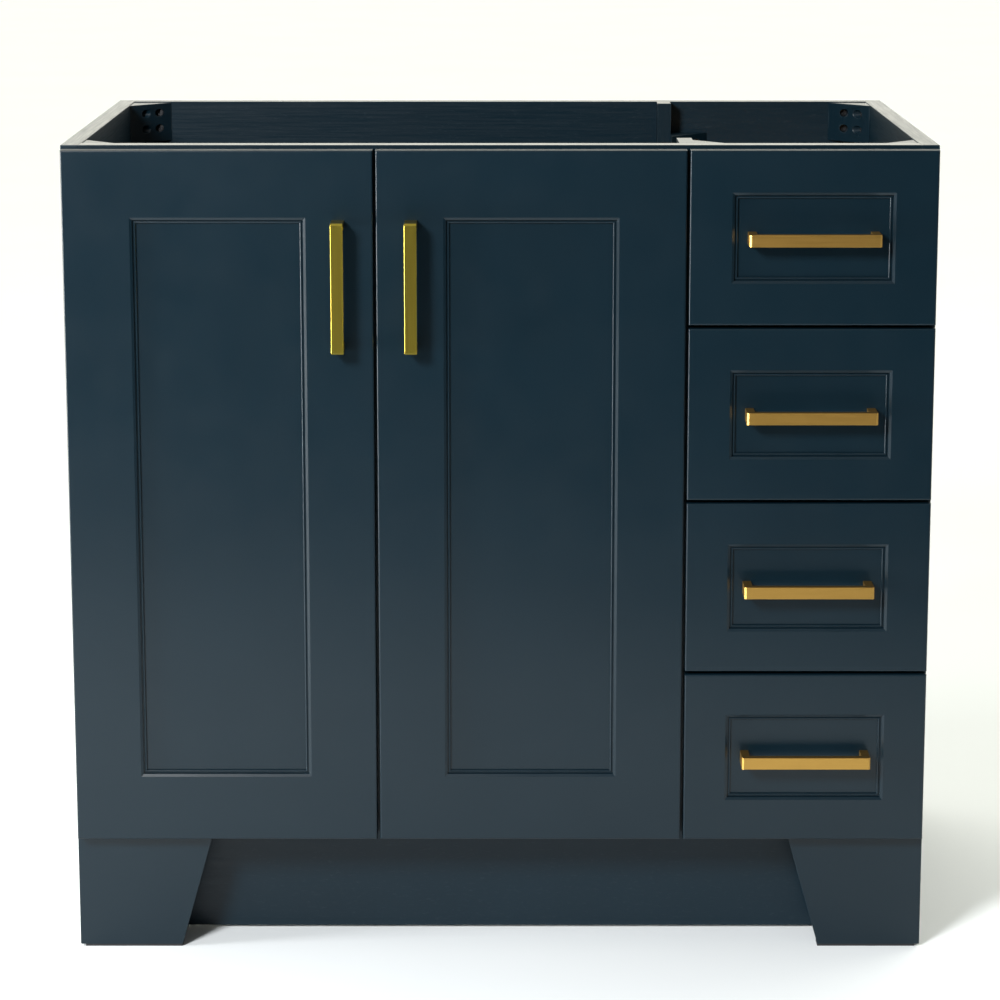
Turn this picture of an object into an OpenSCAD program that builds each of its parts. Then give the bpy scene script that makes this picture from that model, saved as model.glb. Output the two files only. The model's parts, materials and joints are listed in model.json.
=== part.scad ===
// Bathroom vanity cabinet for a worktop: an open-topped case with two hinged doors,
// a bank of four drawers, bar pulls, a recessed plinth and shaped front feet.
// Millimetres. The origin is on the floor under the middle of the cabinet, pulls included.
// +X is to the right for someone facing the doors, +Y is to the back and +Z is up.

/* [Case] */
// Width across the two side panels
case_w = 914.4; // [860:0.1:1000]
// Depth of the case without its doors
case_d = 526; // [500:1:560]
// Height of the case top above the floor
case_h = 876; // [850:1:920]
// Thickness of a side panel
side_t = 19; // [16:0.5:20]
// Thickness of the partition between the doors and the drawers
partition_t = 16; // [15:0.5:19]
// Height of the underside of the deck above the floor
deck_z = 131; // [120:1:136]
// Thickness of the deck
deck_t = 18; // [15:0.5:18]

/* [Rails and back] */
// Thickness of the front top rail
front_rail_t = 20; // [18:0.5:22]
// Height of the front top rail
front_rail_h = 60; // [40:1:62]
// Width of the stile behind the meeting edges of the doors
stile_w = 50; // [30:1:54]
// Thickness of the back top rail
back_rail_t = 18; // [15:0.5:20]
// Height of the back top rail
back_rail_h = 100; // [80:1:140]
// Thickness of the back panel
back_panel_t = 9; // [6:0.5:12]
// Width of the plumbing cut-out in the back panel
cutout_w = 380; // [200:5:480]
// Height of the plumbing cut-out
cutout_h = 300; // [150:5:320]
// Height of the bottom of the cut-out above the floor
cutout_z = 400; // [250:5:420]

/* [Partition top] */
// Length of the partition's front post, from the front rail back
front_post = 55; // [50:1:90]
// Length of the partition's back post
back_post = 27; // [20:1:60]
// Depth of the notch between the two posts
notch_h = 110; // [70:5:150]

/* [Corner blocks] */
// Length of a corner block along each wall
block_leg = 45; // [42:1:50]
// Height of a corner block
block_h = 45; // [40:1:55]
// Drop of the blocks below the case top
block_drop = 1.2; // [0:0.1:3]
// Drop of the block at the back of the partition below the case top
low_block_drop = 37; // [0:1:50]

/* [Base] */
// Thickness of the pads under the feet
pad_t = 3; // [2:0.5:6]
// Thickness of a front foot board
foot_t = 20; // [18:0.5:25]
// Width of a front foot at its top
foot_top_w = 147; // [120:1:180]
// Width of a front foot at the floor
foot_tip_w = 111; // [80:1:118]
// Distance of the plinth board behind the case front
toe_setback = 60; // [40:1:80]
// Thickness of the plinth board
toe_t = 16; // [12:0.5:19]

/* [Doors and drawer fronts] */
// Thickness of a door or drawer front
front_t = 18; // [17:0.5:20]
// Clearance between the case and the back of the fronts
front_clear = 2; // [1.5:0.1:3]
// Width of a drawer front
drawer_front_w = 258; // [240:1:270]
// Gap between two fronts side by side
gap_side = 3; // [2:0.5:4]
// Gap between two drawer fronts, one above the other
gap_over = 3.5; // [2:0.5:4]
// How much of the side panel's edge shows beside the fronts
side_reveal = 2.2; // [1:0.1:4]
// How far the fronts stop below the case top
top_reveal = 3.4; // [1:0.1:6]
// Height of the bottom of the fronts above the floor
front_z = 129; // [127:1:134]
// Flat width of a door's frame
door_frame = 70; // [55:1:80]
// Flat width of a drawer front's frame
drawer_frame = 44; // [35:1:48]
// Depth of the centre panels below the frames
recess = 6; // [5:0.5:7]
// Radius of the outer front edges
edge_r = 1.8; // [0.5:0.1:3]

/* [Pulls] */
// Distance between a pull's screws
pull_pitch = 128; // [96:1:130]
// Width of a pull's bar
pull_w = 12.7; // [9:0.1:16]
// Thickness of a pull's bar and legs
pull_t = 8.7; // [7:0.1:12]
// How far a pull stands out from what it is screwed to
pull_reach = 30; // [24:1:36]
// Distance of a door pull's middle from the door's meeting edge
pull_inset = 36.5; // [30:0.5:45]
// Height of the door pulls' middle above the floor
pull_z = 731.6; // [600:0.1:740]

/* [Drawer boxes] */
// Length of a drawer box
box_len = 450; // [380:5:455]
// Height of a drawer box
box_h = 96; // [80:1:96]
// Thickness of the box boards
box_t = 12; // [10:0.5:15]
// Thickness of a box bottom
box_bottom_t = 6; // [4:0.5:6]
// Thickness of a closed slide
slide_t = 12.7; // [12.5:0.1:14]
// Height of the fixed rail of a slide
slide_h = 45; // [45:1:46]

/* [Hidden] */
$fn = 48;
eps = 0.01;

DOORS = ["left", "right"];
DRAWERS = [1:4];
CASE_NODES = [
    "side_panel_left", "side_panel_right", "partition", "bottom_deck", "back_panel",
    "back_top_rail", "front_top_rail", "centre_stile", "toe_kick", "front_foot_left",
    "front_foot_right", "foot_pads", "corner_block_screws", "hinge_arms", "slide_rails"
];
CORNERS = [
    "front_left", "front_right", "back_left", "back_right", "partition_front", "partition_back"
];
DOOR_PARTS = ["frame", "panel", "pull", "pull_screws", "hinge_cups"];
DRAWER_PARTS = ["front", "box", "bottom", "pull", "pull_screws", "slide_inner", "slide_middle"];

PAINT = [0.13, 0.20, 0.24];
PAINT_EDGE = [0.18, 0.25, 0.29];
BRASS = [0.72, 0.56, 0.28];
STEEL = [0.70, 0.71, 0.72];
BIRCH = [0.83, 0.71, 0.53];
DARK = [0.08, 0.08, 0.08];

// Planes of the cabinet from front to back
depth_all = case_d + front_clear + front_t + pull_reach;
back_y = depth_all / 2;
case_y = back_y - case_d;
fronts_back_y = case_y - front_clear;
fronts_y = fronts_back_y - front_t;

// Planes across the cabinet
half_w = case_w / 2;
inner_half = half_w - side_t;
drawer_x0 = half_w - side_reveal - drawer_front_w;
left_door_x = side_reveal - half_w;
door_w = (drawer_x0 - left_door_x - 2 * gap_side) / 2;
right_door_x = left_door_x + door_w + gap_side;
meeting_x = right_door_x - gap_side / 2;
pull_x = drawer_x0 + drawer_front_w / 2;
partition_x = drawer_x0 - gap_side / 2 - partition_t / 2;
bay_x0 = partition_x + partition_t;
bay_w = inner_half - bay_x0;

// Heights
deck_top = deck_z + deck_t;
front_h = case_h - top_reveal - front_z;
drawer_front_h = (front_h - 3 * gap_over) / 4;
front_rail_z = case_h - front_rail_h;
back_rail_z = case_h - back_rail_h;

// Moulding on the inside of each frame: a bevel, a groove and a small bead
bevel_w = 2.7;
bevel_depth = 1.5;
groove_w = 1.2;
groove_depth = 4.2;
bead_r = 1.2;
bead_top = 3.3;
bead_x = bevel_w + groove_w + bead_r;
bead_w = bead_x + bead_r;

// Centre panels of the doors, held in a groove of the frame
panel_t = 6.6;
panel_groove = 8;
panel_groove_t = 7;

// Hinges
hinge_from_end = 100;
cup_from_edge = 22.5;
cup_r = 17.3;
cup_depth = 11.5;
cup_wall = 1.3;
cup_flange_t = 1.2;
flange_w = 24;
flange_h = 56;
flange_r = 8;
flange_screw_z = 22.5;
hinge_hole_r = 2.1;
cup_hole_r = 17.5;
cup_hole_depth = 12;
arm_from_edge = 20;
arm_w = 14;
arm_h = 12;
arm_reach = 6;
arm_back = 56;
arm_nose = 4;
arm_slope = 8;
arm_foot_y = 8;
plate_t = 2;
plate_h = 36;
plate_y = 14;
plate_len = 46;
plate_screw_y = 14;
plate_screw_z = 12.5;
plate_screw_r = 3.4;
plate_screw_t = 1.4;

// Screws
screw_r = 2;
screw_hole_r = 2.5;
screw_bite = 12;
pan_head_r = 4;
pan_head_t = 2.4;
recess_len = 4.8;
recess_w = 1;
recess_depth = 1.2;
block_screw_z = [-11, -29.5];
block_screw_a = 31.5;
block_screw_b = 27.5;
block_grip_a = 7;
block_grip_b = 6;
block_bore_r = 4.6;
pull_tap_r = 2.1;
pull_tap_depth = 12;
pull_screw_in = 10;
pull_c = 2;
pull_edge_c = 0.4;

// Drawer boxes, slides and their travel
box_x0 = bay_x0 + slide_t;
box_w = bay_w - 2 * slide_t;
box_rise = 24;
bottom_rise = 10;
bottom_tongue = 5;
bottom_clear = 0.2;
tails = 3;
pin_narrow = 3;
pin_wide = 6;
dovetail_gap = 0.1;
slide_rise = box_rise + 28;
slide_len = box_len - 4;
slide_y = 1;
sheet_t = 1.2;
rail_short = 3.2;
middle_x = 2.2;
middle_short = 2.8;
middle_less_h = 7;
inner_x = 4.6;
inner_less_h = 13;

function drawer_z(n) = front_z + (4 - n) * (drawer_front_h + gap_over);
function door_x(side) = side == "left" ? left_door_x : right_door_x;

// A plate from one corner to the opposite one
module slab(low, high) {
    translate(low) cube(high - low);
}

// Turns a drawing in X and Y into a plate that stands across Y, X to the right and Y up
module upright(y0, y1) {
    translate([0, y1, 0]) rotate([90, 0, 0]) linear_extrude(y1 - y0) children();
}

// Turns a drawing in X and Y into a plate that stands across X, with X to the back and Y up
module sideways(x0, x1) {
    translate([x0, 0, 0]) rotate([90, 0, 90]) linear_extrude(x1 - x0) children();
}

module rounded_rectangle(w, h, r) {
    square([w - 2 * r, h], center = true);
    square([w, h - 2 * r], center = true);
    for (x = [-1, 1], y = [-1, 1]) translate([x * (w / 2 - r), y * (h / 2 - r)]) circle(r);
}

// Puts a part made for the left-hand side of an edge at x, mirrored for the right door
module at_door_edge(side, z) {
    if (side == "left") translate([left_door_x, 0, z]) children();
    else translate([right_door_x + door_w, 0, z]) mirror([1, 0, 0]) children();
}

// ---- Case ----

module side_panel(x0) {
    color(PAINT) sideways(x0, x0 + side_t) polygon([
        [case_y + foot_t, pad_t],
        [back_y, pad_t],
        [back_y, case_h],
        [case_y, case_h],
        [case_y, deck_z],
        [case_y + foot_t, deck_z]
    ]);
}

module partition() {
    post_y = case_y + front_rail_t + front_post;
    back_post_y = back_y - back_rail_t - back_post;
    color(PAINT) sideways(partition_x, partition_x + partition_t) polygon([
        [case_y, deck_top],
        [back_y - back_panel_t, deck_top],
        [back_y - back_panel_t, back_rail_z],
        [back_y - back_rail_t, back_rail_z],
        [back_y - back_rail_t, case_h],
        [back_post_y, case_h],
        [back_post_y, case_h - notch_h],
        [post_y, case_h - notch_h],
        [post_y, case_h],
        [case_y + front_rail_t, case_h],
        [case_y + front_rail_t, front_rail_z],
        [case_y, front_rail_z]
    ]);
}

module bottom_deck() {
    back = back_y - back_panel_t;
    color(PAINT) slab([-inner_half, case_y, deck_z], [inner_half, back, deck_top]);
}

module back_panel() {
    door_bay_mid = (partition_x - inner_half) / 2;
    color(PAINT) difference() {
        slab([-inner_half, back_y - back_panel_t, deck_z], [inner_half, back_y, back_rail_z]);
        upright(back_y - back_panel_t - 1, back_y + 1)
            translate([door_bay_mid, cutout_z + cutout_h / 2])
                rounded_rectangle(cutout_w, cutout_h, 20);
    }
}

module back_top_rail() {
    front = back_y - back_rail_t;
    color(PAINT) slab([-inner_half, front, back_rail_z], [inner_half, back_y, case_h]);
}

module front_top_rail() {
    back = case_y + front_rail_t;
    color(PAINT) slab([-inner_half, case_y, front_rail_z], [inner_half, back, case_h]);
}

// Upright board behind the gap between the doors
module centre_stile() {
    x0 = meeting_x - stile_w / 2;
    color(PAINT) slab([x0, case_y, deck_top], [x0 + stile_w, case_y + front_rail_t, front_rail_z]);
}

module toe_kick() {
    y0 = case_y + toe_setback;
    color(PAINT) slab([-inner_half, y0, pad_t], [inner_half, y0 + toe_t, deck_z]);
}

module front_foot() {
    color(PAINT) upright(case_y, case_y + foot_t) polygon([
        [-half_w, pad_t],
        [foot_tip_w - half_w, pad_t],
        [foot_top_w - half_w, deck_z],
        [-half_w, deck_z]
    ]);
}

// Two long pads under the front feet and two under the backs of the side panels
module foot_pads() {
    inset = 5;
    color(DARK) for (side = [0, 1]) mirror([side, 0, 0]) {
        slab([inset - half_w, case_y + 2, 0], [foot_tip_w - half_w, case_y + foot_t - 2, pad_t]);
        slab([2 - half_w, back_y - 80, 0], [side_t - 2 - half_w, back_y - 10, pad_t]);
    }
}

// ---- Corner blocks ----

// Places a block made for the corner between the planes X = 0 and Y = 0, top at Z = 0
module at_corner(name) {
    front = case_y + front_rail_t;
    back = back_y - back_rail_t;
    top = case_h - (name == "partition_back" ? low_block_drop : block_drop);
    translate([0, 0, top]) {
        if (name == "front_left") translate([-inner_half, front]) children();
        if (name == "front_right") translate([inner_half, front]) rotate(90) children();
        if (name == "back_right") translate([inner_half, back]) rotate(180) children();
        if (name == "back_left") translate([-inner_half, back]) rotate(270) children();
        if (name == "partition_front") translate([bay_x0, front]) children();
        if (name == "partition_back") translate([bay_x0, back]) rotate(270) children();
    }
}

// A screw's head standing on Z = 0, with a cross recess in its top
module pan_head() {
    difference() {
        cylinder(r = pan_head_r, h = pan_head_t);
        for (turn = [0, 90]) rotate(turn)
            translate([-recess_len / 2, -recess_w / 2, pan_head_t - recess_depth])
                cube([recess_len, recess_w, recess_depth + 1]);
    }
}

// A hole from a wall through the block, wider from the grip outwards for the screw's head
module block_hole(grip) {
    translate([0, 0, -1]) cylinder(r = screw_hole_r, h = block_leg);
    translate([0, 0, grip]) cylinder(r = block_bore_r, h = block_leg);
}

module block_screw(grip) {
    translate([0, 0, -screw_bite]) cylinder(r = screw_r, h = screw_bite + grip + eps);
    translate([0, 0, grip]) pan_head();
}

// Puts a hole or a screw, drawn along Z from a wall at Z = 0, at each of a block's four places
module at_block_screws(wall) {
    for (z = block_screw_z)
        if (wall == "a") translate([0, block_screw_a, z]) rotate([0, 90, 0]) children();
        else translate([block_screw_b, 0, z]) rotate([-90, 0, 0]) children();
}

module corner_block(name) {
    color(PAINT_EDGE) at_corner(name) difference() {
        translate([0, 0, -block_h]) linear_extrude(block_h)
            polygon([[0, 0], [block_leg, 0], [0, block_leg]]);
        at_block_screws("a") block_hole(block_grip_a);
        at_block_screws("b") block_hole(block_grip_b);
    }
}

module corner_block_screws() {
    color(STEEL) for (name = CORNERS) at_corner(name) {
        at_block_screws("a") block_screw(block_grip_a);
        at_block_screws("b") block_screw(block_grip_b);
    }
}

// ---- Door and drawer fronts ----

// Section of a frame: X runs in from its outer edge and Y back from its face
module frame_section(w, grooved) {
    difference() {
        union() {
            translate([edge_r, edge_r]) circle(edge_r);
            translate([edge_r, 0]) square([w - edge_r, front_t]);
            translate([0, edge_r]) square([w, front_t - edge_r]);
            translate([w, 0])
                polygon([[0, 0], [bevel_w, bevel_depth], [bevel_w, front_t], [0, front_t]]);
            translate([w, groove_depth]) square([bead_w, front_t - groove_depth]);
            translate([w + bead_x, bead_top + bead_r]) circle(bead_r);
        }
        if (grooved) translate([w + bead_w - panel_groove, recess])
            square([panel_groove + 1, panel_groove_t]);
    }
}

// One side of a frame with its ends mitred: outer edge along X, width along Z, face at Y = 0
module mitred_side(len, w, grooved) {
    across = w + bead_w;
    intersection() {
        translate([len, 0, 0]) rotate([0, -90, 0]) linear_extrude(len) frame_section(w, grooved);
        upright(-1, front_t + 1)
            polygon([[0, 0], [len, 0], [len - across, across], [across, across]]);
    }
}

// A frame around an opening, from the origin to size_x and size_z
module moulded_frame(size_x, size_z, w, grooved) {
    mitred_side(size_x, w, grooved);
    translate([size_x, 0, 0]) rotate([0, -90, 0]) mitred_side(size_z, w, grooved);
    translate([size_x, 0, size_z]) rotate([0, 180, 0]) mitred_side(size_x, w, grooved);
    translate([0, 0, size_z]) rotate([0, 90, 0]) mitred_side(size_z, w, grooved);
}

// Puts children at each of a pull's two screws, with the pull's length along X
module at_pull_screws() {
    for (x = [-1, 1]) translate([x * pull_pitch / 2, 0, 0]) children();
}

// A bar pull along X, its feet at Y = 0 and its bar towards -Y
module pull() {
    half_len = (pull_pitch + pull_t) / 2;
    half = pull_w / 2;
    color(BRASS) difference() {
        intersection() {
            translate([0, 0, -half]) linear_extrude(pull_w) difference() {
                polygon([
                    [-half_len, 0],
                    [-half_len, pull_c - pull_reach],
                    [pull_c - half_len, -pull_reach],
                    [half_len - pull_c, -pull_reach],
                    [half_len, pull_c - pull_reach],
                    [half_len, 0]
                ]);
                translate([pull_t - half_len, pull_t - pull_reach])
                    square([2 * (half_len - pull_t), pull_reach]);
            }
            sideways(-half_len - 1, half_len + 1) polygon([
                [1, -half],
                [pull_edge_c - pull_reach, -half],
                [-pull_reach, pull_edge_c - half],
                [-pull_reach, half - pull_edge_c],
                [pull_edge_c - pull_reach, half],
                [1, half]
            ]);
        }
        at_pull_screws() rotate([90, 0, 0]) translate([0, 0, -1])
            cylinder(r = pull_tap_r, h = pull_tap_depth + 1);
    }
}

// A pull's screws: heads behind the wood and shanks through it into the pull's feet
module pull_screws(grip) {
    color(STEEL) at_pull_screws() rotate([90, 0, 0]) translate([0, 0, -grip]) {
        cylinder(r = screw_r, h = grip + pull_screw_in);
        mirror([0, 0, 1]) pan_head();
    }
}

// Clearance holes for a pull's screws, through everything from the face back
module pull_holes(depth) {
    at_pull_screws() rotate([-90, 0, 0]) translate([0, 0, -1])
        cylinder(r = screw_hole_r, h = depth + 2);
}

// ---- Doors ----

// Places a pull, upright, on a door
module at_door_pull(side) {
    at_door_edge(side, pull_z) translate([door_w - pull_inset, fronts_y, 0]) rotate([0, 90, 0])
        children();
}

// Puts children at each hinge of a door, at the door's hinged edge
module at_hinges(side) {
    for (z = [front_z + hinge_from_end, front_z + front_h - hinge_from_end])
        at_door_edge(side, z) children();
}

module door_frame(side) {
    color(PAINT) difference() {
        translate([door_x(side), fronts_y, front_z]) moulded_frame(door_w, front_h, door_frame, true);
        at_hinges(side) translate([cup_from_edge, fronts_back_y + 1, 0])
            rotate([90, 0, 0]) cylinder(r = cup_hole_r, h = cup_hole_depth + 1);
        at_door_pull(side) pull_holes(front_t);
    }
}

module door_panel(side) {
    margin = door_frame + bead_w - panel_groove + 0.5;
    x0 = door_x(side);
    color(PAINT) slab(
        [x0 + margin, fronts_y + recess, front_z + margin],
        [x0 + door_w - margin, fronts_y + recess + panel_t, front_z + front_h - margin]
    );
}

// Hollow cup with a thin flange behind the door, open to the back
module hinge_cups(side) {
    color(STEEL) at_hinges(side) translate([cup_from_edge, fronts_back_y, 0]) rotate([-90, 0, 0])
        difference() {
            union() {
                translate([0, 0, -cup_depth]) cylinder(r = cup_r, h = cup_depth + cup_flange_t);
                linear_extrude(cup_flange_t) rounded_rectangle(flange_w, flange_h, flange_r);
            }
            translate([0, 0, cup_wall - cup_depth]) cylinder(r = cup_r - cup_wall, h = cup_depth + 2);
            for (y = [-flange_screw_z, flange_screw_z])
                translate([0, y, -1]) cylinder(r = hinge_hole_r, h = cup_flange_t + 2);
        }
}

// Base plate on the case wall, and the arm that it carries into the door's cup
module hinge_arm(wall_from_edge) {
    arm_end = arm_from_edge + arm_w;
    translate([wall_from_edge, case_y, 0]) {
        slab([0, plate_y, -plate_h / 2], [plate_t, plate_y + plate_len, plate_h / 2]);
        slab(
            [0, plate_y + arm_foot_y, -arm_h / 2],
            [arm_from_edge - wall_from_edge + arm_nose, arm_back, arm_h / 2]
        );
        for (z = [-plate_screw_z, plate_screw_z])
            translate([plate_t, plate_y + plate_screw_y, z]) rotate([0, 90, 0])
                cylinder(r = plate_screw_r, h = plate_screw_t);
    }
    translate([0, case_y, -arm_h / 2]) linear_extrude(arm_h) polygon([
        [arm_from_edge, arm_back],
        [arm_from_edge, arm_nose - arm_reach],
        [arm_from_edge + arm_nose, -arm_reach],
        [arm_end - arm_nose, -arm_reach],
        [arm_end, arm_nose - arm_reach],
        [arm_end, arm_back - arm_slope],
        [arm_end - arm_slope, arm_back]
    ]);
}

module hinge_arms() {
    color(STEEL) {
        at_hinges("left") hinge_arm(-inner_half - left_door_x);
        at_hinges("right") hinge_arm(right_door_x + door_w - partition_x);
    }
}

// ---- Drawers ----

module drawer_front(n) {
    z0 = drawer_z(n);
    inset = drawer_frame + bead_w - 1;
    color(PAINT) translate([drawer_x0, fronts_y, z0]) difference() {
        union() {
            moulded_frame(drawer_front_w, drawer_front_h, drawer_frame, false);
            slab([inset, recess, inset], [drawer_front_w - inset, front_t, drawer_front_h - inset]);
        }
        translate([drawer_front_w / 2, 0, drawer_front_h / 2]) pull_holes(front_t);
    }
}

module at_drawer_pull(n) {
    translate([pull_x, fronts_y + recess, drawer_z(n) + drawer_front_h / 2]) children();
}

// Puts children at the low left front corner of a drawer box
module at_box(n) {
    translate([box_x0, fronts_back_y, drawer_z(n) + box_rise]) children();
}

// Outlines of the pins at one end of a box side, X back from the end and Y up
module dovetail_pins(gap) {
    pitch = box_h / tails;
    intersection() {
        square([box_t, box_h]);
        for (k = [0:tails]) translate([0, k * pitch]) polygon([
            [0, gap - pin_narrow],
            [box_t - gap, gap - pin_wide],
            [box_t - gap, pin_wide - gap],
            [0, pin_narrow - gap]
        ]);
    }
}

// The box bottom, which stands in a groove of all four boards
module box_bottom(clear) {
    edge = box_t - bottom_tongue - clear;
    slab(
        [edge, edge, bottom_rise - clear],
        [box_w - edge, box_len - edge, bottom_rise + box_bottom_t + clear]
    );
}

module box_side() {
    sideways(0, box_t) difference() {
        square([box_len, box_h]);
        dovetail_pins(0);
        translate([box_len, 0]) mirror([1, 0]) dovetail_pins(0);
    }
}

// A board across the box with the pins that fit between the tails of the sides
module box_end() {
    slab([box_t + dovetail_gap, 0, 0], [box_w - box_t - dovetail_gap, box_t, box_h]);
    sideways(0, box_w) dovetail_pins(dovetail_gap);
}

module drawer_box(n) {
    color(BIRCH) at_box(n) difference() {
        union() {
            box_side();
            translate([box_w - box_t, 0, 0]) box_side();
            box_end();
            translate([0, box_len, 0]) mirror([0, 1, 0]) box_end();
        }
        box_bottom(bottom_clear);
        translate([pull_x - box_x0, 0, drawer_front_h / 2 - box_rise]) pull_holes(box_t);
    }
}

module drawer_bottom(n) {
    color(BIRCH) at_box(n) box_bottom(0);
}

// Section of a slide member, bent from sheet: a web and two flanges, X to the drawer, Y up
module slide_section(x0, w, h, web_first) {
    translate([web_first ? x0 : x0 + w - sheet_t, -h / 2]) square([sheet_t, h]);
    for (y = [-h / 2, h / 2 - sheet_t]) translate([x0, y]) square([w, sheet_t]);
}

// Two slide members of a drawer, drawn as a section on the left and mirrored on the right
module slide_pair(n) {
    y1 = case_y + slide_y + slide_len;
    color(STEEL) for (side = [0, 1])
        translate([side == 0 ? bay_x0 : inner_half, y1, drawer_z(n) + slide_rise])
            mirror([side, 0, 0]) rotate([90, 0, 0]) linear_extrude(slide_len) children();
}

// The fixed rails, the middle members and the drawers' own members lie one inside the other
module slide_rails() {
    for (n = DRAWERS) slide_pair(n) slide_section(0, slide_t - rail_short, slide_h, true);
}

module slide_middle(n) {
    w = slide_t - middle_x - middle_short;
    slide_pair(n) slide_section(middle_x, w, slide_h - middle_less_h, true);
}

module slide_inner(n) {
    slide_pair(n) slide_section(inner_x, slide_t - inner_x, slide_h - inner_less_h, false);
}

// ---- Everything, one sub-part at a time ----

side_panel(-half_w);  // side_panel_left
side_panel(inner_half);  // side_panel_right
partition();
bottom_deck();
back_panel();
back_top_rail();
front_top_rail();
centre_stile();
toe_kick();
front_foot();  // front_foot_left
mirror([1, 0, 0]) front_foot();  // front_foot_right
foot_pads();
corner_block_screws();
hinge_arms();
slide_rails();
for (corner = CORNERS)
    corner_block(corner);
for (side = DOORS) {
    door_frame(side);
    door_panel(side);
    at_door_pull(side) pull();
    at_door_pull(side) pull_screws(front_t);
    hinge_cups(side);
}
for (n = DRAWERS) {
    drawer_front(n);
    drawer_box(n);
    drawer_bottom(n);
    at_drawer_pull(n) pull();
    at_drawer_pull(n) pull_screws(front_t - recess + box_t);
    slide_inner(n);
    slide_middle(n);
}
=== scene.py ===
import json
import math

import bmesh
import bpy
from mathutils import Matrix, Vector


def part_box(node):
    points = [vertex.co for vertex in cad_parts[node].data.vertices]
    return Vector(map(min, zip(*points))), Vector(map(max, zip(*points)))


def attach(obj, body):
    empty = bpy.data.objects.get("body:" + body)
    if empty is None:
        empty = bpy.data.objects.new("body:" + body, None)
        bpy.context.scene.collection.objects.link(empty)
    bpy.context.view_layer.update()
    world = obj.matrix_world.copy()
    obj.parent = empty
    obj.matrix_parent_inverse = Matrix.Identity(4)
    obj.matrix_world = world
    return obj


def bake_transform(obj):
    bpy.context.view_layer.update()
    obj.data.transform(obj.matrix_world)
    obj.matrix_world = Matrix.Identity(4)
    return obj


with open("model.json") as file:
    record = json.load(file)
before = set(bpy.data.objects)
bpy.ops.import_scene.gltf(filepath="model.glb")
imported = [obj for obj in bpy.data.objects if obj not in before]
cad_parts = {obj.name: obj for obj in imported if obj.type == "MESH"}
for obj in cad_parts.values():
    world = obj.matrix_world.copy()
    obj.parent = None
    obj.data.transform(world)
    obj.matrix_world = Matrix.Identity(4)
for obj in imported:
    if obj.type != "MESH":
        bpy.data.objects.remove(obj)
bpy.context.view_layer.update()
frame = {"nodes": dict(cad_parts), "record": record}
NODES = frame["nodes"]
CASE_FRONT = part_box("front_top_rail")[0].y
MM = 0.001
X, Y, Z = 0, 1, 2
BACKWARD = (0, 1, 0)
DOORS = ("left", "right")
DRAWERS = (1, 2, 3, 4)

# ---- Camera: in front, above the case top and tilted down, as in a catalogue picture ----

CAMERA_DISTANCE = 3.251  # from the case's front plane
CAMERA_HEIGHT = 1.210
CAMERA_TILT = math.radians(10.88)
FOCAL_IN_FRAMES = 3.134  # focal length in sensor widths
CAMERA_SHIFT = -0.08
SENSOR_WIDTH = 36  # mm


def make_camera():
    data = bpy.data.cameras.new("camera")
    data.sensor_width = SENSOR_WIDTH
    data.lens = SENSOR_WIDTH * FOCAL_IN_FRAMES
    data.shift_y = CAMERA_SHIFT
    data.clip_end = 100
    camera = bpy.data.objects.new("camera", data)
    bpy.context.scene.collection.objects.link(camera)
    camera.location = (0, CASE_FRONT - CAMERA_DISTANCE, CAMERA_HEIGHT)
    camera.rotation_euler = (math.pi / 2 - CAMERA_TILT, 0, 0)
    bpy.context.scene.camera = camera


# ---- Materials ----


def set_range(node, *limits):
    """Gives a range node its From Min, From Max, To Min and To Max."""
    for socket, limit in zip(("From Min", "From Max", "To Min", "To Max"), limits):
        node.inputs[socket].default_value = limit


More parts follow.
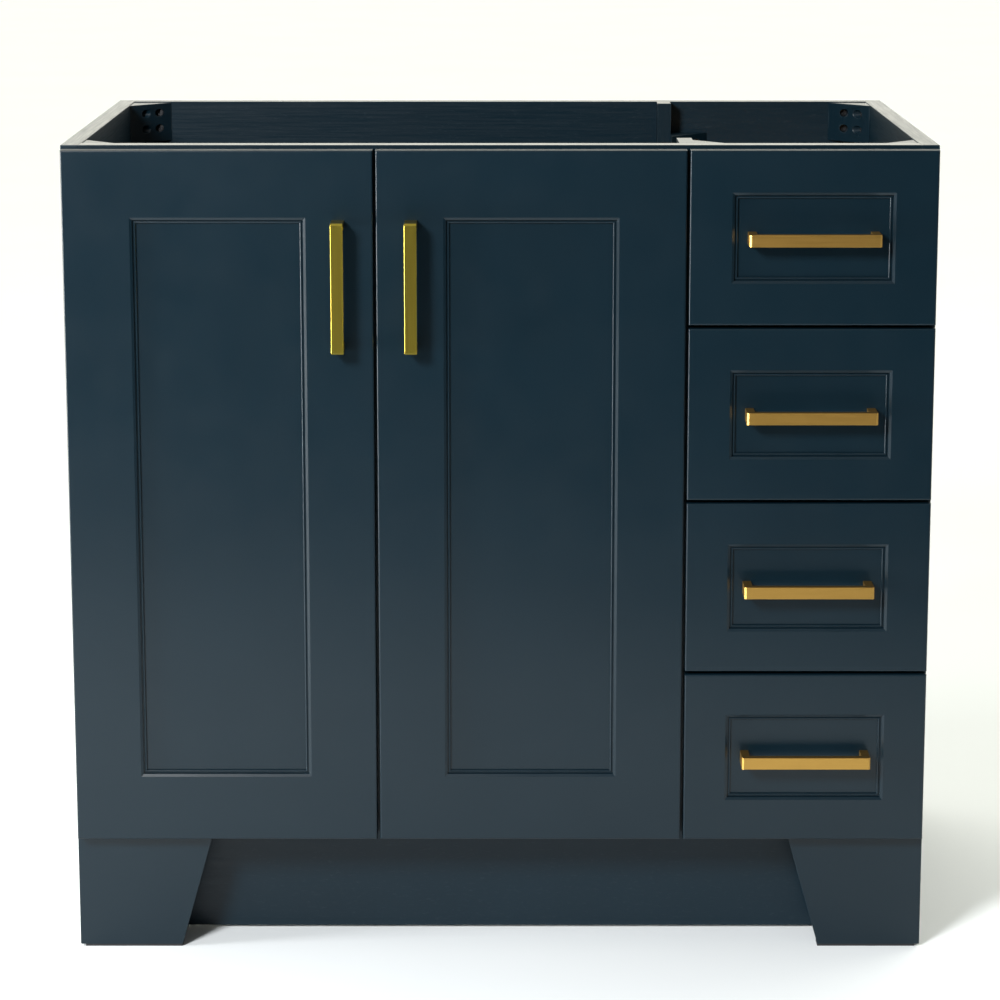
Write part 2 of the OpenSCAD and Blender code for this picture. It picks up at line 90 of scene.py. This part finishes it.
class Shader:
    """A new material with its Principled shader, and short calls for the nodes that feed it."""

    def __init__(self, name):
        self.material = bpy.data.materials.new(name)
        self.material.use_nodes = True
        self.tree = self.material.node_tree
        self.principled = self.tree.nodes["Principled BSDF"]
        self.where = self.tree.nodes.new("ShaderNodeTexCoord").outputs["Object"]

    def set(self, **values):
        """Sets constants on the Principled shader's sockets, whose names have _ for a space."""
        for key, value in values.items():
            self.principled.inputs[key.replace("_", " ")].default_value = value

    def link(self, source, socket):
        self.tree.links.new(source, socket)

    def noise(self, scale, detail=3, roughness=0.5, distortion=0.0):
        """Noise with the given number of features a metre along each axis."""
        place = self.tree.nodes.new("ShaderNodeMapping")
        place.inputs["Scale"].default_value = scale
        self.link(self.where, place.inputs["Vector"])
        node = self.tree.nodes.new("ShaderNodeTexNoise")
        node.inputs["Scale"].default_value = 1
        node.inputs["Detail"].default_value = detail
        node.inputs["Roughness"].default_value = roughness
        node.inputs["Distortion"].default_value = distortion
        self.link(place.outputs["Vector"], node.inputs["Vector"])
        return node.outputs["Fac"]

    def even_noise(self, scale, detail=3):
        return self.noise((scale, scale, scale), detail)

    def streaks(self, along, length, across, detail=4):
        """Noise drawn out along one axis."""
        return self.noise(tuple(length if axis == along else across for axis in (X, Y, Z)), detail, 0.6)

    def ramp(self, source, *stops):
        """A colour ramp through (position, colour) stops."""
        node = self.tree.nodes.new("ShaderNodeValToRGB")
        ramp = node.color_ramp
        while len(ramp.elements) < len(stops):
            ramp.elements.new(0.5)
        for element, (position, colour) in zip(ramp.elements, stops):
            element.position = position
            element.color = (*colour, 1)
        self.link(source, node.inputs["Fac"])
        return node.outputs["Color"]

    def fit(self, source, low, high, source_low=0.3, source_high=0.7):
        """source, which runs from about 0.3 to 0.7 where it is noise, brought to low to high."""
        node = self.tree.nodes.new("ShaderNodeMapRange")
        set_range(node, source_low, source_high, low, high)
        self.link(source, node.inputs["Value"])
        return node.outputs["Result"]

    def maths(self, operation, first, second):
        node = self.tree.nodes.new("ShaderNodeMath")
        node.operation = operation
        self.link(first, node.inputs[0])
        self.link(second, node.inputs[1])
        return node.outputs["Value"]

    def mix(self, colour, other, share, blend="MIX"):
        """colour mixed with other, by a share that is a number or a socket."""
        node = self.tree.nodes.new("ShaderNodeMix")
        node.data_type = "RGBA"
        node.blend_type = blend
        if isinstance(share, float):
            node.inputs["Factor"].default_value = share
        else:
            self.link(share, node.inputs["Factor"])
        self.link(colour, node.inputs["A"])
        if isinstance(other, tuple):
            node.inputs["B"].default_value = (*other, 1)
        else:
            self.link(other, node.inputs["B"])
        return node.outputs["Result"]

    def bump(self, source, depth, under=None):
        """A bump of that depth in metres, added to the bump under it."""
        node = self.tree.nodes.new("ShaderNodeBump")
        node.inputs["Distance"].default_value = depth
        self.link(source, node.inputs["Height"])
        if under is not None:
            self.link(under, node.inputs["Normal"])
        return node.outputs["Normal"]

    def worn_edges(self, width, patches):
        """Near 1 along outside edges where the patches are high, and 0 elsewhere."""
        node = self.tree.nodes.new("ShaderNodeAmbientOcclusion")
        node.inside = True
        node.only_local = True
        node.samples = 6
        node.inputs["Distance"].default_value = width
        edge = self.fit(node.outputs["AO"], 1, 0, 0.45, 0.95)
        return self.maths("MULTIPLY", edge, self.fit(patches, 0, 1, 0.42, 0.62))

    def use(self, **sources):
        """Feeds the Principled shader's sockets, whose names have _ for a space."""
        for key, source in sources.items():
            self.link(source, self.principled.inputs[key.replace("_", " ")])


PAINT_DARK = (0.0022, 0.0106, 0.0176)
PAINT_LIGHT = (0.0027, 0.0116, 0.0190)
PAINT_WORN = (0.018, 0.032, 0.042)
BOARD_DARK = (0.0024, 0.0117, 0.0196)
BOARD_LIGHT = (0.0029, 0.0130, 0.0215)
PAINT_IOR = 1.375
BOARD_IOR = 1.34
PAINT_GLOSS = (0.28, 0.32)
BOARD_GLOSS = (0.28, 0.40)
# Two copies of one brass whose base tones differ by painted light: an orange tone set to how the lying
# drawer pulls are lit, and a greener olive tone set to how the upright door pulls are lit.
BRASS_LYING_PAINTED_LIGHT = ((0.46, 0.272, 0.066), (0.51, 0.302, 0.078))
BRASS_UPRIGHT_PAINTED_LIGHT = ((0.42, 0.334, 0.047), (0.465, 0.370, 0.057))
BRASS_LYING_GLOSS = (0.37, 0.47)
BRASS_UPRIGHT_GLOSS = (0.28, 0.32)
NICKEL = ((0.60, 0.58, 0.54), (0.70, 0.68, 0.64))
NICKEL_GLOSS = (0.22, 0.34)


def front_paint():
    """Satin lacquer of the fronts: soft patches of gloss, a fine orange peel, edges rubbed a little."""
    s = Shader("navy_paint_front")
    s.set(IOR=PAINT_IOR)
    colour = s.ramp(s.even_noise(9, 4), (0.3, PAINT_DARK), (0.7, PAINT_LIGHT))
    rubbed = s.worn_edges(0.9 * MM, s.even_noise(35, 4))
    gloss = s.fit(s.even_noise(25, 5), *PAINT_GLOSS)
    peel = s.bump(s.even_noise(420, 2), 0.03 * MM)
    fibre = s.bump(s.even_noise(2600, 2), 0.012 * MM, peel)
    s.use(Base_Color=s.mix(colour, PAINT_WORN, rubbed), Roughness=gloss, Normal=fibre)
    return s.material


def board_paint(along):
    """Thinner paint on the case's boards: the grain shows through, with pale flecks and worn edges."""
    s = Shader("navy_paint_board_" + "xyz"[along])
    s.set(IOR=BOARD_IOR)
    colour = s.ramp(s.even_noise(9, 4), (0.3, BOARD_DARK), (0.7, BOARD_LIGHT))
    grain = s.streaks(along, 16, 520)
    flecks = s.fit(s.streaks(along, 150, 620, 2), 0, 0.35, 0.60, 0.72)
    worn = s.worn_edges(1.6 * MM, s.even_noise(60, 5))
    colour = s.mix(s.mix(colour, PAINT_WORN, flecks), PAINT_WORN, worn)
    brushed = s.bump(grain, 0.06 * MM)
    nubs = s.bump(s.even_noise(900, 3), 0.05 * MM, brushed)
    s.use(Base_Color=colour, Roughness=s.fit(grain, *BOARD_GLOSS), Normal=nubs)
    return s.material


def brushed_metal(name, tones, gloss, along):
    """Metal brushed along one axis: fine streaks in its colour, gloss and surface."""
    s = Shader(name)
    s.set(Metallic=1.0)
    streaks = s.streaks(along, 22, 3800)
    dark, light = tones
    colour = s.ramp(streaks, (0.32, dark), (0.68, light))
    lines = s.bump(streaks, 0.006 * MM)
    waves = s.bump(s.even_noise(60, 2), 0.012 * MM, lines)
    s.use(Base_Color=colour, Roughness=s.fit(streaks, *gloss), Normal=waves)
    return s.material


def zinc_steel():
    """Zinc plating: a faint crystalline mottle and an uneven gloss."""
    s = Shader("zinc_steel")
    s.set(Metallic=1.0)
    cells = s.tree.nodes.new("ShaderNodeTexVoronoi")
    cells.inputs["Scale"].default_value = 260
    s.link(s.where, cells.inputs["Vector"])
    mottle = s.even_noise(90, 4)
    colour = s.ramp(mottle, (0.3, (0.50, 0.52, 0.54)), (0.7, (0.66, 0.67, 0.68)))
    gloss = s.fit(cells.outputs["Distance"], 0.26, 0.42, 0, 0.6)
    s.use(Base_Color=colour, Roughness=gloss, Normal=s.bump(mottle, 0.04 * MM))
    return s.material


def black_steel():
    """Blackened screws: dark oxide, rubbed a little brighter in patches."""
    s = Shader("black_steel")
    s.set(Metallic=0.6)
    rub = s.even_noise(700)
    s.use(
        Base_Color=s.ramp(rub, (0.35, (0.010, 0.011, 0.013)), (0.75, (0.055, 0.057, 0.062))),
        Roughness=s.fit(rub, 0.26, 0.45),
        Normal=s.bump(rub, 0.03 * MM),
    )
    return s.material


def birch_ply():
    """Clear-lacquered birch with its grain along the drawer's sides."""
    s = Shader("birch_ply")
    s.set(IOR=1.48)
    bands = s.noise((60, 3.2, 60), 3, 0.55, 0.6)
    pores = s.noise((900, 26, 900), 3, 0.6)
    colour = s.ramp(
        bands, (0.25, (0.50, 0.335, 0.185)), (0.5, (0.62, 0.45, 0.27)), (0.8, (0.70, 0.53, 0.34))
    )
    shade = s.ramp(pores, (0.35, (0.62, 0.55, 0.45)), (0.6, (1, 1, 1)))
    s.use(
        Base_Color=s.mix(colour, shade, 0.35, "MULTIPLY"),
        Roughness=s.fit(pores, 0.42, 0.55),
        Normal=s.bump(pores, 0.06 * MM),
    )
    return s.material


def black_plastic():
    """Matt moulded plastic with a spark-eroded texture."""
    s = Shader("black_plastic")
    grain = s.even_noise(1600, 2)
    s.use(
        Base_Color=s.ramp(grain, (0.3, (0.012, 0.012, 0.013)), (0.7, (0.022, 0.022, 0.023))),
        Roughness=s.fit(grain, 0.5, 0.7),
        Normal=s.bump(grain, 0.04 * MM),
    )
    return s.material


def make_materials():
    """Every material by its key, which is the record's slot except for paint and brass."""
    return {
        "front": front_paint(),
        "board_x": board_paint(X),
        "board_y": board_paint(Y),
        "board_z": board_paint(Z),
        # The two brass copies differ in base tone by painted light; their brushing axis and gloss differ
        # as real brass.
        "brass_lying_painted_light": brushed_metal("brushed_brass_lying", BRASS_LYING_PAINTED_LIGHT, BRASS_LYING_GLOSS, X),
        "brass_upright_painted_light": brushed_metal("brushed_brass_upright", BRASS_UPRIGHT_PAINTED_LIGHT, BRASS_UPRIGHT_GLOSS, Z),
        "nickel_steel": brushed_metal("nickel_steel", NICKEL, NICKEL_GLOSS, Y),
        "zinc_steel": zinc_steel(),
        "black_steel": black_steel(),
        "birch_ply": birch_ply(),
        "black_plastic": black_plastic(),
    }


ROOM_FACING = ("front_top_rail", "front_foot_left", "front_foot_right")


def paint_key(node):
    """Which paint a painted node has: lacquer on what faces the room, else board paint by its grain."""
    if "door" in node or "drawer" in node or node in ROOM_FACING:
        return "front"
    if node in ("partition", "centre_stile") or node.startswith("corner_block"):
        return "board_z"
    if node.startswith("side_panel"):
        return "board_y"
    return "board_x"


def paint_nodes():
    """Gives every CAD node its detailed material, by the slot that the record names."""
    for row in frame["record"]["subparts"]:
        name, key = row["node"], row["material_slot"]
        if key == "navy_paint":
            key = paint_key(name)
        # Door pulls take the upright brass and drawer pulls the lying brass, whose two base tones are
        # painted light.
        if key == "brushed_brass":
            key = "brass_upright_painted_light" if "door" in name else "brass_lying_painted_light"
        for index in range(len(NODES[name].data.materials)):
            NODES[name].data.materials[index] = MATERIALS[key]


# ---- Soft edges on the CAD nodes ----

BOARD_EDGE = 0.8 * MM
TRIM_EDGE = 0.5 * MM
HINGE_ARM_EDGE = 0.6 * MM
PULL_EDGE = 0.15 * MM
BOX_EDGE = 0.25 * MM
SHARP_ANGLE = math.radians(35)  # edges sharper than this are rounded


def soften(name, width, segments=3):
    """Joins the split corners of an imported mesh and rounds its sharp edges."""
    node = NODES[name]
    weld = node.modifiers.new("weld", "WELD")
    weld.merge_threshold = 0.01 * MM
    bevel = node.modifiers.new("round_edges", "BEVEL")
    bevel.width = width
    bevel.segments = segments
    bevel.limit_method = "ANGLE"
    bevel.angle_limit = SHARP_ANGLE


def soften_all():
    """Boards, trim, hinge arms, pulls and boxes. Doors and drawer fronts are rounded in the CAD."""
    boards = [
        "side_panel_left", "side_panel_right", "partition", "bottom_deck", "back_panel",
        "back_top_rail", "centre_stile", "toe_kick", "front_foot_left", "front_foot_right",
    ]
    for name in boards:
        soften(name, BOARD_EDGE)
    soften("front_top_rail", TRIM_EDGE)
    soften("foot_pads", TRIM_EDGE)
    soften("hinge_arms", HINGE_ARM_EDGE)
    for name in NODES:
        if name.startswith("corner_block_") and not name.endswith("screws"):
            soften(name, TRIM_EDGE)
        if name.endswith("_pull"):
            soften(name, PULL_EDGE)
        if name.endswith("_box"):
            soften(name, BOX_EDGE, 2)


# ---- Fittings that only Blender shows: they carry nothing in the CAD ----


def add_piece(name, shape, material):
    """A new object from a bmesh, in a material whose name is also the record's slot."""
    mesh = bpy.data.meshes.new(name)
    shape.to_mesh(mesh)
    shape.free()
    mesh.materials.append(MATERIALS[material])
    piece = bpy.data.objects.new(name, mesh)
    bpy.context.scene.collection.objects.link(piece)
    return piece


# Shape of a head or pad
HEAD_RINGS = 9
HEAD_SIDES = 32
HEAD_DOME = 0.45  # how far the rim lies below the middle, as a share of the head's height
CROSS_WIDTH = 0.24  # share of the head's radius
CROSS_LENGTH = 0.62  # from the middle, share of the head's radius
CROSS_DEPTH = 0.55  # share of the head's height


def add_heads(shape, places, axis, radius, height, crossed=True):
    """Domed discs standing on the places and facing along axis, with a cross recess or plain."""
    turn = Vector((0, 0, 1)).rotation_difference(Vector(axis)).to_matrix().to_4x4()
    for place in places:
        rings = []
        for ring in range(1, HEAD_RINGS + 1):
            r = ring / HEAD_RINGS
            points = []
            for side in range(HEAD_SIDES):
                angle = math.tau * (side + 0.5) / HEAD_SIDES
                u, v = r * math.cos(angle), r * math.sin(angle)
                z = height * (1 - HEAD_DOME * r**4)
                in_cross = min(abs(u), abs(v)) < CROSS_WIDTH / 2 and max(abs(u), abs(v)) < CROSS_LENGTH
                if crossed and in_cross:
                    z -= CROSS_DEPTH * height
                points.append(Vector((radius * u, radius * v, z)))
            rings.append(points)
        rings.append([Vector((p.x, p.y, 0)) for p in rings[-1]])
        move = Matrix.Translation(place) @ turn
        grid = [[shape.verts.new(move @ p) for p in ring] for ring in rings]
        top = height * (1 - CROSS_DEPTH) if crossed else height
        middle = shape.verts.new(move @ Vector((0, 0, top)))
        for a, b in zip(grid, grid[1:]):
            for k in range(HEAD_SIDES):
                shape.faces.new((a[k], b[k], b[k - 1], a[k - 1]))
        for k in range(HEAD_SIDES):
            shape.faces.new((middle, grid[0][k], grid[0][k - 1]))
        shape.faces.new(grid[-1])
    bmesh.ops.recalc_face_normals(shape, faces=shape.faces)


def heads(name, places, axis, size, material, body, crossed=True):
    """Discs of one size, which is radius and height, in one object that moves with the body."""
    shape = bmesh.new()
    add_heads(shape, places, axis, *size, crossed)
    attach(add_piece(name, shape, material), body)


# Places on the hinges, as the CAD has them
HINGE_FROM_END = 100 * MM
CUP_FROM_EDGE = 22.5 * MM
CUP_SCREW_Z = 22.5 * MM
CUP_FLANGE_T = 1.2 * MM
CUP_DEPTH = 11.5 * MM
ARM_FROM_EDGE = 20 * MM
ARM_W = 14 * MM

CUP_SCREW_HEAD = (3.3 * MM, 1.6 * MM)  # radius and height, as in the other sizes of heads
ARM_SCREW_HEAD = (3.2 * MM, 1.2 * MM)
ARM_SCREW_YS = (16 * MM, 34 * MM)  # behind the case's front
LINK_STEPS = 16
LINK_HALF_T = 0.9 * MM
LINK_W = 4 * MM
LINK_LOWS = (-4.6 * MM, 0.6 * MM)  # lower edges of the two links, from the hinge's height
LINK_START_Y = 4 * MM  # behind the case's front
LINK_END_Y = 2 * MM  # behind the cup's floor


def hinge_heights(side):
    low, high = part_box(f"{side}_door_frame")
    return (low.z + HINGE_FROM_END, high.z - HINGE_FROM_END)


def hinge_edge(side):
    """The X of the door's hinged edge, and which way the door runs from it."""
    low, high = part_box(f"{side}_door_frame")
    return (low.x, 1) if side == "left" else (high.x, -1)


def cup_screws(side):
    edge, inward = hinge_edge(side)
    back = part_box(f"{side}_door_frame")[1].y + CUP_FLANGE_T
    places = [
        (edge + inward * CUP_FROM_EDGE, back, z + up * CUP_SCREW_Z)
        for z in hinge_heights(side) for up in (-1, 1)
    ]
    heads(f"{side}_door_cup_screws", places, BACKWARD, CUP_SCREW_HEAD, "zinc_steel", f"{side}_door")


def arm_screws(side):
    """Adjusting screws in the open face of each hinge arm."""
    edge, inward = hinge_edge(side)
    face = edge + inward * (ARM_FROM_EDGE + ARM_W)
    places = [(face, CASE_FRONT + y, z) for z in hinge_heights(side) for y in ARM_SCREW_YS]
    heads(f"{side}_hinge_arm_screws", places, (inward, 0, 0), ARM_SCREW_HEAD, "zinc_steel", "carcass")


def hinge_links(side):
    """Two flat links from each arm's nose to the floor of its cup."""
    edge, inward = hinge_edge(side)
    cup_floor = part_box(f"{side}_door_frame")[1].y - CUP_DEPTH + LINK_END_Y
    start = CASE_FRONT + LINK_START_Y
    middle = edge + inward * (ARM_FROM_EDGE + ARM_W / 2)
    for number, z in enumerate(hinge_heights(side), 1):
        shape = bmesh.new()
        for low in LINK_LOWS:
            corners = [(-LINK_HALF_T, low), (LINK_HALF_T, low)]
            corners += [(LINK_HALF_T, low + LINK_W), (-LINK_HALF_T, low + LINK_W)]
            loops = []
            for step in range(LINK_STEPS + 1):
                y = start + (cup_floor - start) * step / LINK_STEPS
                loops.append([shape.verts.new((middle + u, y, z + v)) for u, v in corners])
            for a, b in zip(loops, loops[1:]):
                for k in range(len(corners)):
                    shape.faces.new((a[k], b[k], b[k - 1], a[k - 1]))
            shape.faces.new(loops[0])
            shape.faces.new(loops[-1])
        bmesh.ops.recalc_face_normals(shape, faces=shape.faces)
        links = add_piece(f"{side}_door_hinge_links_{number}", shape, "nickel_steel")
        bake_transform(links)


BUMPER_SIZE = (4.5 * MM, 1.6 * MM)
BUMPER_FROM_EDGE = 12 * MM
BUMPER_FROM_FOOT = 32 * MM
BUMPER_FROM_TOP = 22 * MM


def door_bumpers(side):
    """Soft pads where the door meets the case, at the corners away from the hinges."""
    low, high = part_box(f"{side}_door_frame")
    x = high.x - BUMPER_FROM_EDGE if side == "left" else low.x + BUMPER_FROM_EDGE
    places = [(x, high.y, low.z + BUMPER_FROM_FOOT), (x, high.y, high.z - BUMPER_FROM_TOP)]
    door = f"{side}_door"
    heads(f"{side}_door_bumpers", places, BACKWARD, BUMPER_SIZE, "black_plastic", door, crossed=False)


DRAWER_SCREW_HEAD = (3.8 * MM, 2 * MM)
BOX_FRONT_T = 12 * MM
DRAWER_SCREW_INSET = 30 * MM  # from the box's sides and foot
DRAWER_SCREW_FROM_TOP = 16 * MM


def drawer_screws(n):
    """Screws through the box's front board into the drawer front."""
    low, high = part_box(f"drawer_{n}_box")
    places = [
        (x, low.y + BOX_FRONT_T, z)
        for x in (low.x + DRAWER_SCREW_INSET, high.x - DRAWER_SCREW_INSET)
        for z in (low.z + DRAWER_SCREW_INSET, high.z - DRAWER_SCREW_FROM_TOP)
    ]
    heads(f"drawer_{n}_front_screws", places, BACKWARD, DRAWER_SCREW_HEAD, "zinc_steel", f"drawer_{n}")


BACK_SCREW_HEAD = (3.6 * MM, 1.2 * MM)
BACK_SCREW_SINK = 0.7 * MM
BACK_SCREW_INSET = 9 * MM
BACK_SCREW_PITCH = 150 * MM


def back_screws():
    """Screws around the edge of the back panel, at about one pitch from each other."""
    low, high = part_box("back_panel")
    inset = BACK_SCREW_INSET
    seat = high.y - BACK_SCREW_SINK
    width, height = high.x - low.x - 2 * inset, high.z - low.z - 2 * inset
    columns, rows = round(width / BACK_SCREW_PITCH), round(height / BACK_SCREW_PITCH)
    xs = [low.x + inset + width * k / columns for k in range(columns + 1)]
    zs = [low.z + inset + height * k / rows for k in range(1, rows)]
    places = [(x, seat, z) for x in xs for z in (low.z + inset, high.z - inset)]
    places += [(x, seat, z) for x in (xs[0], xs[-1]) for z in zs]
    heads("back_panel_screws", places, BACKWARD, BACK_SCREW_HEAD, "black_steel", "carcass")


def make_fittings():
    for side in DOORS:
        cup_screws(side)
        arm_screws(side)
        hinge_links(side)
        door_bumpers(side)
    for n in DRAWERS:
        drawer_screws(n)
    back_screws()


# ---- Studio ----

FLOOR_HALF_WIDTH = 15
FLOOR_BACK = 25
FLOOR_LEFT_FRONT = 1.9  # how far it runs in front of the case on the left
FLOOR_RIGHT_FRONT = 0.95
FLOOR_SLANT = 1.2  # how far to each side the slant between those two reaches
FLOOR_DARK = (0.88, 0.92, 0.94)
FLOOR_LIGHT = (0.90, 0.94, 0.96)
WORLD_TINT = (1, 0.985, 0.87, 1)
WORLD_IN_FRONT = 0.05
WORLD_BEHIND = 2.3
WORLD_BACK_RISE = (0.0, 0.6)  # directions in Y between which the back grows bright
WORLD_ABOVE = 0.16
WORLD_TOP_RISE = (0.3, 0.8)  # directions in Z between which the top grows bright
WORLD_SEEN = 1.05  # strength of the white that the camera sees
LIGHTS_AIM = (0, -0.25, 0.45)
OVERHEAD_STRENGTH = 0.6
OVERHEAD_SPREAD = math.radians(90)


def make_floor():
    """A pale sheet under the cabinet that runs far back and ends a little way in front."""
    mesh = bpy.data.meshes.new("floor")
    outline = [(x, CASE_FRONT - FLOOR_LEFT_FRONT, 0) for x in (-FLOOR_HALF_WIDTH, -FLOOR_SLANT)]
    outline += [(x, CASE_FRONT - FLOOR_RIGHT_FRONT, 0) for x in (FLOOR_SLANT, FLOOR_HALF_WIDTH)]
    outline += [(x, FLOOR_BACK, 0) for x in (FLOOR_HALF_WIDTH, -FLOOR_HALF_WIDTH)]
    mesh.from_pydata(outline, [], [tuple(range(len(outline)))])
    floor = bpy.data.objects.new("floor", mesh)
    bpy.context.scene.collection.objects.link(floor)
    s = Shader("pale_floor")
    s.set(IOR=1.3, Roughness=0.6)
    s.use(Base_Color=s.ramp(s.even_noise(2), (0.3, FLOOR_DARK), (0.7, FLOOR_LIGHT)))
    mesh.materials.append(s.material)


def area_light(name, location, size, power):
    """A rectangular light that faces the cabinet."""
    data = bpy.data.lights.new(name, "AREA")
    data.shape = "RECTANGLE"
    data.size, data.size_y = size
    data.energy = power
    light = bpy.data.objects.new(name, data)
    light.location = location
    light.rotation_euler = (Vector(LIGHTS_AIM) - Vector(location)).to_track_quat("-Z", "Y").to_euler()
    bpy.context.scene.collection.objects.link(light)


def make_world():
    """White surroundings behind and above, dim on the camera's side as a studio is behind its lights."""
    scene = bpy.context.scene
    scene.view_settings.view_transform = "Standard"
    scene.world = bpy.data.worlds.new("studio")
    scene.world.use_nodes = True
    tree = scene.world.node_tree
    background = tree.nodes["Background"]
    split = tree.nodes.new("ShaderNodeSeparateXYZ")
    tree.links.new(tree.nodes.new("ShaderNodeTexCoord").outputs["Generated"], split.inputs["Vector"])

    def level(axis, rise, low, high):
        """Strength that goes from low to high over the rise, along one axis of the direction."""
        node = tree.nodes.new("ShaderNodeMapRange")
        node.interpolation_type = "SMOOTHSTEP"
        set_range(node, *rise, low, high)
        tree.links.new(split.outputs[axis], node.inputs["Value"])
        return node.outputs["Result"]

    brighter = tree.nodes.new("ShaderNodeMath")
    brighter.operation = "MAXIMUM"
    tree.links.new(level("Y", WORLD_BACK_RISE, WORLD_IN_FRONT, WORLD_BEHIND), brighter.inputs[0])
    tree.links.new(level("Z", WORLD_TOP_RISE, 0, WORLD_ABOVE), brighter.inputs[1])
    camera_ray = tree.nodes.new("ShaderNodeLightPath").outputs["Is Camera Ray"]
    strength = tree.nodes.new("ShaderNodeMix")
    strength.inputs["B"].default_value = WORLD_SEEN
    tree.links.new(camera_ray, strength.inputs["Factor"])
    tree.links.new(brighter.outputs["Value"], strength.inputs["A"])
    tree.links.new(strength.outputs["Result"], background.inputs["Strength"])
    tint = tree.nodes.new("ShaderNodeMix")
    tint.data_type = "RGBA"
    tint.inputs["A"].default_value = WORLD_TINT
    tint.inputs["B"].default_value = (1, 1, 1, 1)
    tree.links.new(camera_ray, tint.inputs["Factor"])
    tree.links.new(tint.outputs["Result"], background.inputs["Color"])


def make_light():
    """A soft key from the front left, a strip that lights the left edges, and a faint overhead."""
    make_world()
    area_light("key", location=(-1.6, -3.05, 2.22), size=(0.75, 0.75), power=182)
    area_light("left_strip", location=(-2.9, -0.75, 0.47), size=(0.6, 0.8), power=100)
    sun = bpy.data.objects.new("overhead", bpy.data.lights.new("overhead", "SUN"))
    sun.data.energy = OVERHEAD_STRENGTH
    sun.data.angle = OVERHEAD_SPREAD
    bpy.context.scene.collection.objects.link(sun)


MATERIALS = make_materials()
make_camera()
paint_nodes()
soften_all()
make_fittings()
make_floor()
make_light()
